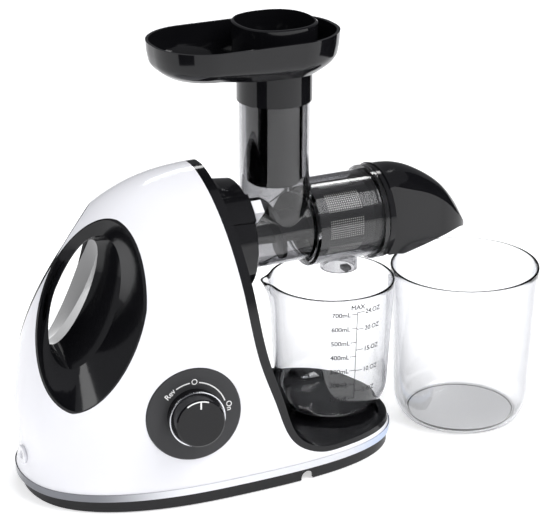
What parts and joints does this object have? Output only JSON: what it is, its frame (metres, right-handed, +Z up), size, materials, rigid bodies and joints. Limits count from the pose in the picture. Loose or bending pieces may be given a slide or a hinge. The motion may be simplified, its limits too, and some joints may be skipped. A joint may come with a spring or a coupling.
{
  "type": "cold press juicer",
  "caption": "Horizontal cold press juicer: gloss housing with a carrying handle, side knob, screw drum with feed chute and tray, pulp nose, jug and cup.",
  "frame": {"origin": "on the table, under the middle of the whole set's bounding box", "axes": "+X along the screw from the motor to the pulp nose, +Z up, the knob faces -Y"},
  "size_m": [0.4771, 0.1997, 0.378],
  "materials": {
    "white_shell": "high gloss",
    "black_gloss": "high gloss",
    "black_matte": "fine matt",
    "charcoal": "fine matt",
    "chrome": "polished",
    "smoky_clear": "clear, smoky grey plastic",
    "clear": "clear plastic",
    "auger_grey": "satin",
    "rubber": "matt",
    "silicone": "satin",
    "steel": "machined",
    "gear_nylon": "satin nylon",
    "grey_plastic": "matt",
    "mesh_steel": "perforated sheet",
    "magnet": "sintered",
    "board": "solder resist"
  },
  "bodies": {
    "machine": {"main_housing": "white_shell", "front_panel": "black_gloss", "base_plate": "black_matte", "chrome_trim": "chrome", "handle_liner_left": "black_gloss", "handle_liner_right": "black_gloss", "dial_plate": "charcoal", "drive_collar": "black_gloss", "motor_can": "steel", "motor_magnets": "magnet", "motor_end_bell": "steel", "gearbox_case": "grey_plastic", "gearbox_cover": "grey_plastic", "bearings": "steel", "gearbox_screws": "steel", "rotary_switch": "black_matte", "rectifier_board": "board", "motor_cradle": "grey_plastic", "rubber_feet": "rubber", "base_screws": "steel", "button_spring": "steel", "cord_bushing": "rubber"},
    "rotor": {"motor_rotor": "steel", "cooling_fan": "grey_plastic"},
    "lay": {"lay_gear": "gear_nylon", "lay_shaft": "steel"},
    "output": {"output_gear": "gear_nylon", "output_shaft": "steel", "drive_socket": "steel", "auger": "auger_grey", "auger_shaft": "steel"},
    "drum": {"screw_drum": "smoky_clear", "lock_lug": "white_shell", "strainer_frame": "auger_grey", "strainer_mesh": "mesh_steel", "drum_seal": "silicone", "drip_plug": "silicone"},
    "end_cap": {"end_cap": "black_gloss", "cap_seal": "silicone"},
    "tray": {"feed_tray": "black_gloss"},
    "pusher": {"food_pusher": "black_gloss"},
    "button": {"release_button": "black_gloss"},
    "knob": {"control_knob": "black_gloss", "knob_ring": "chrome"},
    "jug": {"juice_jug": "clear"},
    "cup": {"pulp_cup": "clear"}
  },
  "joints": [
    {"name": "output_spin", "type": "hinge", "parent": "machine", "child": "output", "pos_m": [-0.088, 0.0104, 0.1975], "axis": [1, 0, 0], "continuous": true},
    {"name": "lay_spin", "type": "hinge", "parent": "machine", "child": "lay", "pos_m": [-0.088, 0.0204, 0.13834], "axis": [1, 0, 0], "continuous": true},
    {"name": "rotor_spin", "type": "hinge", "parent": "machine", "child": "rotor", "pos_m": [-0.148, 0.0104, 0.09446], "axis": [1, 0, 0], "continuous": true},
    {"name": "drum_twist", "type": "hinge", "parent": "machine", "child": "drum", "pos_m": [-0.048, 0.0104, 0.1975], "axis": [1, 0, 0], "range_deg": [0, 45]},
    {"name": "cap_twist", "type": "hinge", "parent": "drum", "child": "end_cap", "pos_m": [0.09, 0.0104, 0.1975], "axis": [1, 0, 0], "range_deg": [0, 30]},
    {"name": "tray_lift", "type": "slide", "parent": "drum", "child": "tray", "axis": [0, 0, 1], "range_m": [0, 0.05]},
    {"name": "pusher_slide", "type": "slide", "parent": "tray", "child": "pusher", "axis": [0, 0, 1], "range_m": [0, 0.14]},
    {"name": "button_press", "type": "slide", "parent": "machine", "child": "button", "axis": [0, 0.7071, -0.7071], "range_m": [0, 0.003], "stiffness_N_per_m": 600, "springref_m": -0.002},
    {"name": "knob_turn", "type": "hinge", "parent": "machine", "child": "knob", "pos_m": [-0.1164, -0.0762, 0.0835], "axis": [0.1389, 0.9886, -0.0576], "range_deg": [-55, 75]},
    {"name": "jug_slide", "type": "slide", "parent": "machine", "child": "jug", "axis": [-0.1, -0.995, 0], "range_m": [0, 0.16]},
    {"name": "cup_slide", "type": "slide", "parent": "machine", "child": "cup", "axis": [1, 0, 0], "range_m": [0, 0.15]}
  ],
  "couplings": [
    {"joint": "lay_spin", "follows": "output_spin", "ratio": -4},
    {"joint": "rotor_spin", "follows": "output_spin", "ratio": 16}
  ]
}
